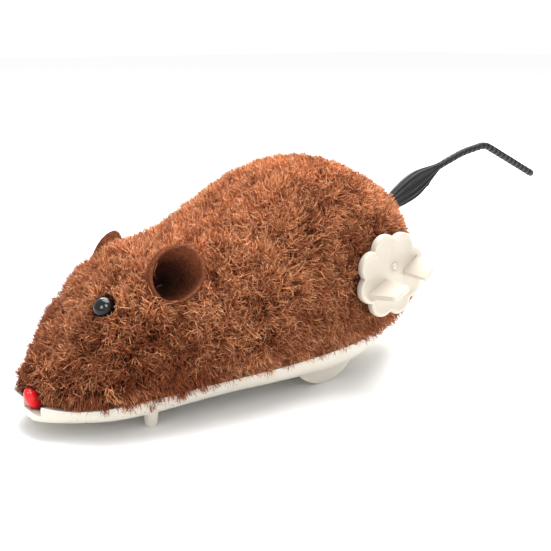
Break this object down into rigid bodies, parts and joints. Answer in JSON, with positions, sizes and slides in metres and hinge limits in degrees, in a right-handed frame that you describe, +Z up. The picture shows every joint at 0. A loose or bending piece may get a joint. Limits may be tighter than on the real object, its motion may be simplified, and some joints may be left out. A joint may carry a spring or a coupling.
{
  "type": "clockwork plush mouse",
  "caption": "Wind-up plush mouse: brown short pile over a shell on a cream plastic tray, flower-shaped winding key on the left flank, driven rear wheels and a bent black tail.",
  "frame": {"origin": "on the floor under the middle of the bounding box", "axes": "+Z up, nose towards -X, tail towards +X, winding key on the -Y flank"},
  "size_m": [0.2004, 0.0728, 0.0616],
  "materials": {
    "cream_plastic": "smooth moulded, slightly glossy",
    "shell_plastic": "plain moulded inside shell",
    "plush": "chestnut brown short pile",
    "ear_felt": "dark brown brushed felt",
    "eye_black": "polished black bead",
    "nose_red": "polished red bead",
    "tail_black": "soft black plastic with a dull sheen",
    "washer_white": "plain moulded",
    "motor_steel": "pressed bright steel",
    "spring_steel": "blued spring steel",
    "screw_steel": "zinc plated",
    "gear_nylon": "natural nylon"
  },
  "bodies": {
    "mouse": {"base_tray": "cream_plastic", "body_shell": "shell_plastic", "fur_cover": "plush", "ear_left": "ear_felt", "ear_right": "ear_felt", "eye_left": "eye_black", "eye_right": "eye_black", "eye_washers": "washer_white", "nose": "nose_red", "tail": "tail_black", "tail_retainer": "washer_white", "case_screws": "screw_steel", "motor_screws": "screw_steel", "motor_pillars": "motor_steel", "motor_plate_left": "motor_steel", "motor_plate_right": "motor_steel", "mainspring": "spring_steel"},
    "winding": {"winding_key": "cream_plastic", "winding_arbor": "motor_steel", "ratchet_wheel": "motor_steel"},
    "great_gear_set": {"great_gear": "gear_nylon", "click_spring": "spring_steel"},
    "intermediate_set": {"intermediate_arbor": "motor_steel", "intermediate_gear": "gear_nylon", "intermediate_pinion": "gear_nylon"},
    "drive": {"drive_axle": "motor_steel", "axle_pinion": "gear_nylon", "wheel_left": "cream_plastic", "wheel_right": "cream_plastic"}
  },
  "joints": [
    {"name": "winding_turn", "type": "hinge", "parent": "mouse", "child": "winding", "pos_m": [-0.00394, -0.02462, 0.0326], "axis": [0, 1, 0], "range_deg": [0, 1530]},
    {"name": "drive_axle_spin", "type": "hinge", "parent": "mouse", "child": "drive", "pos_m": [-0.01744, 0.00538, 0.0127], "axis": [0, 1, 0], "continuous": true},
    {"name": "intermediate_spin", "type": "hinge", "parent": "mouse", "child": "intermediate_set", "pos_m": [-0.01626, -0.00262, 0.02404], "axis": [0, 1, 0], "continuous": true},
    {"name": "great_gear_spin", "type": "hinge", "parent": "mouse", "child": "great_gear_set", "pos_m": [-0.00394, -0.00042, 0.0326], "axis": [0, 1, 0], "continuous": true}
  ],
  "couplings": [
    {"joint": "intermediate_spin", "follows": "drive_axle_spin", "ratio": -0.35714},
    {"joint": "great_gear_spin", "follows": "drive_axle_spin", "ratio": 0.089286}
  ]
}
